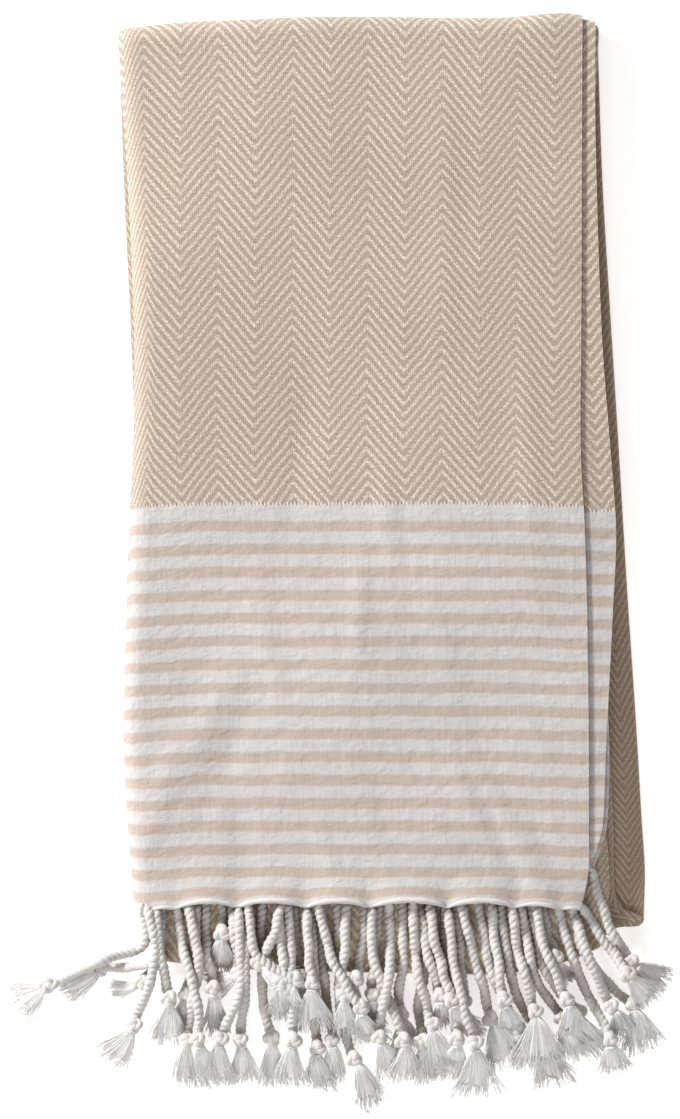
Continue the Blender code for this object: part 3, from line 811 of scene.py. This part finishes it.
class Bundle:
    """Tubes and other closed shapes in one mesh, each with its own length and turn as UV."""

    def __init__(self):
        self.points, self.faces, self.places, self.count = [], [], [], 0

    def add(self, rings, along):
        """Closed shape from rings of points that run anticlockwise round its length."""
        steps, sides, _ = rings.shape
        index = self.count + np.arange(steps * sides).reshape(steps, sides)
        around = np.roll(index, -1, axis=1)
        quads = np.stack([index[:-1], around[:-1], around[1:], index[1:]], axis=2)
        self.faces += quads.reshape(-1, 4).tolist()
        self.faces += [index[0, ::-1].tolist(), index[-1].tolist()]
        self.points.append(rings.reshape(-1, 3))
        turn = np.tile(np.arange(sides) / sides, (steps, 1))
        length = np.tile(along[:, None], (1, sides))
        self.places.append(np.stack([length, turn], axis=2).reshape(-1, 2))
        self.count += steps * sides

    def tube(self, path, radii, sides, hint):
        tangent = np.gradient(path, axis=0)
        tangent /= np.linalg.norm(tangent, axis=1)[:, None]
        first = hint - tangent * (hint * tangent).sum(axis=1)[:, None]
        first /= np.linalg.norm(first, axis=1)[:, None]
        second = np.cross(tangent, first)
        turn = (np.arange(sides) * 2 * math.pi / sides)[None, :, None]
        radii = np.broadcast_to(radii, len(path))[:, None, None]
        spokes = np.cos(turn) * first[:, None] + np.sin(turn) * second[:, None]
        self.add(path[:, None] + radii * spokes, length_along(path))

    def twisted(self, path, scale, sides, start):
        """Two plies laid round a path, turning like the middle of an S."""
        tangent = np.gradient(path, axis=0)
        tangent /= np.linalg.norm(tangent, axis=1)[:, None]
        side = np.cross(tangent, (0.0, 0.0, 1.0))
        side /= np.linalg.norm(side, axis=1)[:, None]
        rise = np.cross(side, tangent)
        run = length_along(path)
        for ply in (0.0, math.pi):
            angle = (start + ply - 2 * math.pi * run / TWIST_PITCH)[:, None]
            out = np.cos(angle) * side + np.sin(angle) * rise
            wander = path + out * TWIST_RADIUS * scale[:, None]
            self.tube(wander, PLY_RADIUS * scale, sides, out)

    def piece(self, name, material):
        mesh = bpy.data.meshes.new(name)
        points = np.vstack(self.points)
        points[:, 2] = np.maximum(points[:, 2], FLOOR_CLEAR)
        mesh.from_pydata(points.tolist(), [], self.faces)
        layer = mesh.uv_layers.new(name="yarn")
        loops = np.empty(len(mesh.loops), np.int32)
        mesh.loops.foreach_get("vertex_index", loops)
        layer.data.foreach_set("uv", np.vstack(self.places)[loops].reshape(-1).astype(np.float32))
        # Each point's share of painted shade, read by the yarn's colour.
        cover = mesh.attributes.new("cover", "FLOAT", "POINT")
        cover.data.foreach_set("value", cover_of(points).astype(np.float32))
        mesh.shade_smooth()
        mesh.materials.append(material)
        made = bpy.data.objects.new(name, mesh)
        bpy.context.scene.collection.objects.link(made)
        return made


# Whites of the cord and tuft yarns, each with its painted shade for where other yarn or the hem lies
# over it.
YARN_WHITE = (0.700, 0.670, 0.634)
YARN_PAINTED_SHADE = (0.53, 0.47, 0.41)
# The cut ends' white is far paler than the cords': painted light, for the light that passes through
# their loose fibres.
CUT_WHITE = (0.97, 0.96, 0.95)
CUT_PAINTED_SHADE = (0.80, 0.77, 0.74)
YARN_SURFACE = {
    "Roughness": 0.9,
    "Specular IOR Level": 0.2,
    "Sheen Weight": 0.3,
    "Sheen Roughness": 0.5,
}
YARN_BUMP_DEPTH = 0.25 * MM


def yarn_material(name, white, painted_shade, strands, bump_strength):
    """Cotton with fine strands along it, with shade painted darker where it lies under other yarn or
    the hem.
    """
    yarn = Recipe(name)
    place = yarn.node("ShaderNodeUVMap", uv_map="yarn").outputs[0]
    fine = yarn.noise(yarn.stretched(place, 260.0, strands, 1.0), 1.0, 2.0, 0.6)
    spots = yarn.noise(yarn.node("ShaderNodeTexCoord").outputs["Object"], 900.0, 2.0, 0.7)
    tone = yarn.added(0.80, (fine, 0.25), (spots, 0.15))
    base = yarn.node("ShaderNodeRGB")
    base.outputs[0].default_value = (*white, 1.0)
    cover = yarn.node("ShaderNodeAttribute", attribute_name="cover").outputs["Fac"]
    shade = yarn.mix(cover, (1.0, 1.0, 1.0), painted_shade)
    colour = yarn.times(yarn.scaled(base.outputs[0], tone), shade)
    yarn.complete(colour, fine, YARN_SURFACE, bump_strength, YARN_BUMP_DEPTH)
    return yarn.material


def across_and_up(ahead):
    """The level direction across a heading, and the one square to both."""
    side = np.cross(ahead, (0.0, 0.0, 1.0))
    side /= np.linalg.norm(side)
    return side, np.cross(side, ahead)


def tuft(bundle, root, tip, spread, strands):
    """The cut ends past a knot: a flat brush that widens to a ragged tip, and loose ends over it."""
    ahead = tip - root
    length = np.linalg.norm(ahead)
    ahead = ahead / length
    side, rise = across_and_up(ahead)
    share = np.linspace(0, 1, BRUSH_RINGS)
    half = BRUSH_ROOT + (spread * BRUSH_SPREAD - BRUSH_ROOT) * share**0.8
    thick = BRUSH_THICK * (1 - BRUSH_THINS * share) + BRUSH_TIP_THICK
    body = length * BRUSH_LENGTH
    turn = np.arange(BRUSH_SIDES) * 2 * math.pi / BRUSH_SIDES
    locks = sum(deep * np.sin(turn * many + strewn.uniform(0, 6)) for many, deep in BRUSH_LOCKS)
    locks = 1 + locks[None, :] * share[:, None]
    ragged = np.sin(turn * 3 + strewn.uniform(0, 6)) + strewn.uniform(-0.6, 0.6, BRUSH_SIDES)
    lateral = np.cos(turn)[None, :] * half[:, None]
    fan = np.cos(np.cos(turn)[None, :] * BRUSH_FAN * spread / body)
    reach = share[:, None] * body * fan + share[:, None] ** 4 * BRUSH_RAGGED * ragged[None, :]
    up = np.sin(turn)[None, :] * thick[:, None] * locks
    bend = strewn.uniform(-TUFT_BEND, TUFT_BEND)
    out = lateral * locks + bend * body * share[:, None] ** 2
    rings = root + reach[..., None] * ahead + out[..., None] * side + up[..., None] * rise
    bundle.add(rings, share * body)
    t = np.linspace(0, 1, STRAND_RINGS)
    for _ in range(strands):
        across = strewn.uniform(-STRAND_OUT, STRAND_OUT)
        end = length * strewn.uniform(*STRAND_LENGTHS)
        end = end * math.cos(min(abs(across), 1) * BRUSH_FAN * spread / length)
        lift = strewn.uniform(*STRAND_LIFTS) * (2.4 - 1.3 * t) * MM
        lift = lift * math.sqrt(max(1 - (across / 1.2) ** 2, 0.05))
        drift = strewn.uniform(-STRAND_DRIFT, STRAND_DRIFT) * length * t**3
        out = (STRAND_ROOT + (spread - STRAND_ROOT) * t**0.85) * across
        out = out + drift + bend * length * t**2
        path = root + (t * end)[:, None] * ahead + out[:, None] * side + lift[:, None] * rise
        bundle.tube(path, np.linspace(*STRAND_RADII, STRAND_RINGS) * MM, STRAND_SIDES, rise)


def overhand(bundle, middle, ahead, size, yaw):
    """The knot itself: the cord passed round and through itself, as three lobes over a core."""
    t = np.linspace(0, 2 * math.pi, KNOT_STEPS)
    lobes = [np.sin(t) + 2 * np.sin(2 * t), np.cos(t) - 2 * np.cos(2 * t), -0.9 * np.sin(3 * t)]
    lobes = np.stack(lobes, axis=1)
    side, rise = across_and_up(ahead)
    c, s = math.cos(yaw), math.sin(yaw)
    a, b = ahead * c + side * s, side * c - ahead * s
    path = middle + size * (lobes[:, :1] * a + lobes[:, 1:2] * b + lobes[:, 2:] * rise)
    bundle.tube(path, KNOT_CORD_RADIUS, KNOT_CORD_SIDES, rise)
    core = np.linspace(-KNOT_CORE_REACH, KNOT_CORE_REACH, len(KNOT_CORE))
    core = middle + core[:, None] * size * ahead
    bundle.tube(core, size * np.array(KNOT_CORE), KNOT_CORE_SIDES, rise)


cord_bundle, knot_bundle, tuft_bundle = Bundle(), Bundle(), Bundle()
hem_heights = [layer_height(FRONT_TOP_LAYER - below) for below in (3, 1, 0)]
for number, cord in enumerate(sorted(CORDS, key=lambda row: row.level)):
    arch = hem_arch(cord.hem_x * MM)
    rise = arch * HEM_ARCH / MM + (2 - cord.level) * HEM_ROW_RISE
    corners = [(cord.hem_x, cord.hem_y + rise), (cord.bend_x, cord.bend_y)]
    corners += [(cord.turn_x, cord.turn_y), (cord.knot_x, cord.knot_y)]
    route = through(np.array(corners) * MM, CORD_STEP)
    along = np.linspace(0, 1, len(route))
    route[:, 0] += SWAY * np.sin((along * (5 + number % 4) + number) * 2.1) * along
    height = laid_on_field(route, CORD_RADIUS, STIFF_SLOPE)
    run = length_along(route)
    leaving = eased(run / LEAVES_HEM)
    leaves_at = hem_heights[cord.level] + (HEM_LIP * arch if cord.level == 2 else 0)
    height = leaves_at * (1 - leaving) + height * leaving
    scale = CORD_START + (1 - CORD_START) * eased(run / CORD_FULL_AT)
    scale = scale * (1 + 0.06 * np.sin(run * 460 + number) + 0.03 * np.sin(run * 1900 + number * 3))
    path = np.column_stack([route, height])
    cord_bundle.twisted(path, scale, CORD_SIDES, number * 1.7)
    raise_field(path[8::2], CORD_RADIUS)

    knot = np.array([[cord.knot_x * MM, cord.knot_y * MM]])
    knot_height = max(laid_on_field(knot, KNOT_RESTS, 1)[0], height[-1] - 1 * MM)
    middle = np.array([*knot[0], knot_height])
    tip = np.array([cord.tip_x * MM, cord.tip_y * MM, 0.0])
    ahead = (tip - middle) * (1, 1, 0)
    ahead /= np.linalg.norm(ahead)
    knot_size = KNOT_SIZE * (1 + KNOT_VARIES * math.sin(number * 1.9))
    overhand(knot_bundle, middle, ahead, knot_size, number * 2.4)

    tip[2] = laid_on_field(tip[None, :2], TUFT_RESTS, 1)[0]
    root = middle + ahead * KNOT_TO_TUFT
    tuft(tuft_bundle, root, tip, cord.spread * MM, TUFT_STRANDS)
    raise_field(middle[None], KNOT_RAISES)
    sideways = np.array([ahead[1], -ahead[0], 0.0])
    for share in np.linspace(0.1, 1, 12):
        spot = root + (tip - root) * share
        wide = cord.spread * MM * share * 0.8
        row = [spot + sideways * wide * t for t in (-1, -0.5, 0, 0.5, 1)]
        raise_field(np.array(row), TUFT_RAISES)

# The fine roll along the top panel's hem, thicker where the hem arches.
top_hem = points.reshape(grid_rows, -1, 3)[0, :FLAP_COLUMNS]
roll = through(top_hem + np.array([0, -0.3 * MM, 0.1 * MM]), HEM_ROLL_STEP)
place = np.arange(len(roll))
ripple = HEM_ROLL_RIPPLE * np.sin(place * 0.7) * np.sin(place * 0.23)
thick = HEM_ROLL + HEM_ROLL_ARCH * hem_arch(roll[:, 0]) + ripple
cord_bundle.tube(roll, thick, HEM_ROLL_SIDES, np.array([0.0, 0.0, 1.0]))

# The front run stands over the cords' roots, which deepens the painted shade on the yarn under the
# hem.
hem_y = FRONT_EDGES[0][0] * MM
over_hem = cell_y > (hem_y + HEM_ARCH * hem_arch(cell_x))
over_hem &= cell_x > read_line(FRONT_EDGES, cell_y, 1)
over_hem &= cell_x < read_line(FRONT_EDGES, cell_y, 2)
field = np.where(over_hem, np.maximum(field, layer_height(FRONT_TOP_LAYER) + HEM_LIP), field)

cord_yarn = yarn_material("white twisted cotton", YARN_WHITE, YARN_PAINTED_SHADE, 26.0, 0.6)
knot_yarn = yarn_material("white knotted cotton", YARN_WHITE, YARN_PAINTED_SHADE, 20.0, 0.5)
cut_yarn = yarn_material("white cut cotton", CUT_WHITE, CUT_PAINTED_SHADE, 70.0, 0.6)
cords = cord_bundle.piece("fringe_cords", cord_yarn)
knots = knot_bundle.piece("fringe_knots", knot_yarn)
tufts = tuft_bundle.piece("fringe_tufts", cut_yarn)
for piece in (cords, knots, tufts):
    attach(piece, "root")
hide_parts("front_fringe")

# ---------------------------------------------------------------------------------------------
# Inner fringe. The same cotton cords at the towel's other end, laid straight and out of sight
# between the runs of cloth, each with its knot and short tuft.

END_CORDS = 13
END_CORD_LENGTH = 104 * MM
END_FIRST_X = -101
END_ROW_WIDTH = 231
END_KNOT_FROM_TIP = 22 * MM
END_CORD_STEP = 1.2 * MM
END_CORD_SIDES = 6
END_SCALE = 0.8
END_KNOT_SIZE = 0.5 * MM
END_TUFT_SPREAD = 5 * MM
END_TUFT_STRANDS = 10

end_y = (BOTTOM_FOLD_Y + CLOTH_LENGTH - HEM_TO_TOP_FOLD - math.pi / 2 * top_radius(3)) - (
    TOP_FOLD_Y - BOTTOM_FOLD_Y + math.pi * bottom_radius(3)
)
end_z = (layer_height(3) + layer_height(FRONT_TOP_LAYER - 3)) / 2
end_bundle = Bundle()
for i in range(END_CORDS):
    at_x = (END_FIRST_X + END_ROW_WIDTH * i / (END_CORDS - 1)) * MM
    tip = np.array([at_x, end_y + END_CORD_LENGTH, end_z])
    knot_y = end_y + END_CORD_LENGTH - END_KNOT_FROM_TIP
    path = through([(at_x, end_y + 1 * MM, end_z), (at_x, knot_y, end_z)], END_CORD_STEP)
    end_bundle.twisted(path, np.full(len(path), END_SCALE), END_CORD_SIDES, i * 1.3)
    overhand(end_bundle, path[-1], np.array([0.0, 1.0, 0.0]), END_KNOT_SIZE, i * 1.1)
    root = path[-1] + np.array([0, 2 * MM, 0])
    tuft(end_bundle, root, tip, END_TUFT_SPREAD, END_TUFT_STRANDS)
end_cords = end_bundle.piece("inner_fringe_cords", cords.data.materials[0])
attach(end_cords, "root")
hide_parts("inner_fringe")

# ---------------------------------------------------------------------------------------------
# Floor, light and camera. A plain white floor under the towel, one broad soft light from the upper
# left, a weak one from beyond the fringe, and a long lens looking straight down.

FLOOR_SIZE = 6
FLOOR_WHITE = (0.93, 0.93, 0.93, 1)
FLOOR_GLOW = 0.55
WORLD_STRENGTH = 0.33

bpy.ops.object.select_all(action="DESELECT")
bpy.ops.mesh.primitive_plane_add(size=FLOOR_SIZE, location=(0, 0, 0))
floor = bpy.context.object
floor.name = "floor"
floor_paint = bpy.data.materials.new("white floor")
floor_paint.use_nodes = True
floor_shader = floor_paint.node_tree.nodes["Principled BSDF"]
floor_shader.inputs["Base Color"].default_value = FLOOR_WHITE
floor_shader.inputs["Roughness"].default_value = 0.8
floor_shader.inputs["Emission Color"].default_value = (1, 1, 1, 1)
floor_shader.inputs["Emission Strength"].default_value = FLOOR_GLOW
floor.data.materials.append(floor_paint)

world = bpy.data.worlds.new("soft studio")
world.use_nodes = True
sky = world.node_tree.nodes["Background"]
sky.inputs["Color"].default_value = (1, 1, 1, 1)
sky.inputs["Strength"].default_value = WORLD_STRENGTH
bpy.context.scene.world = world


def soft_light(name, place, size, power):
    light = bpy.data.lights.new(name, "AREA")
    light.shape = "DISK"
    light.size = size
    light.energy = power
    lamp = bpy.data.objects.new(name, light)
    lamp.location = place
    lamp.rotation_euler = (-Vector(place)).to_track_quat("-Z", "Y").to_euler()
    bpy.context.scene.collection.objects.link(lamp)


soft_light("key light", place=(-1.85, 1.5, 1.25), size=0.6, power=95)
soft_light("fill light", place=(-0.3, -1.9, 1.5), size=1.2, power=20)

# The camera takes in VIEW_HEIGHT along the towel, at the height of its top layer.
VIEW_HEIGHT = 0.611
CAMERA_HEIGHT = 2.4
STACK_HEIGHT = 0.021
SENSOR = 36
lens = bpy.data.cameras.new("camera")
lens.sensor_width = SENSOR
lens.lens = SENSOR * (CAMERA_HEIGHT - STACK_HEIGHT) / VIEW_HEIGHT
camera = bpy.data.objects.new("camera", lens)
camera.location = (0.0014, 0.0020, CAMERA_HEIGHT)
bpy.context.scene.collection.objects.link(camera)
bpy.context.scene.camera = camera
bpy.context.scene.view_settings.view_transform = "Standard"
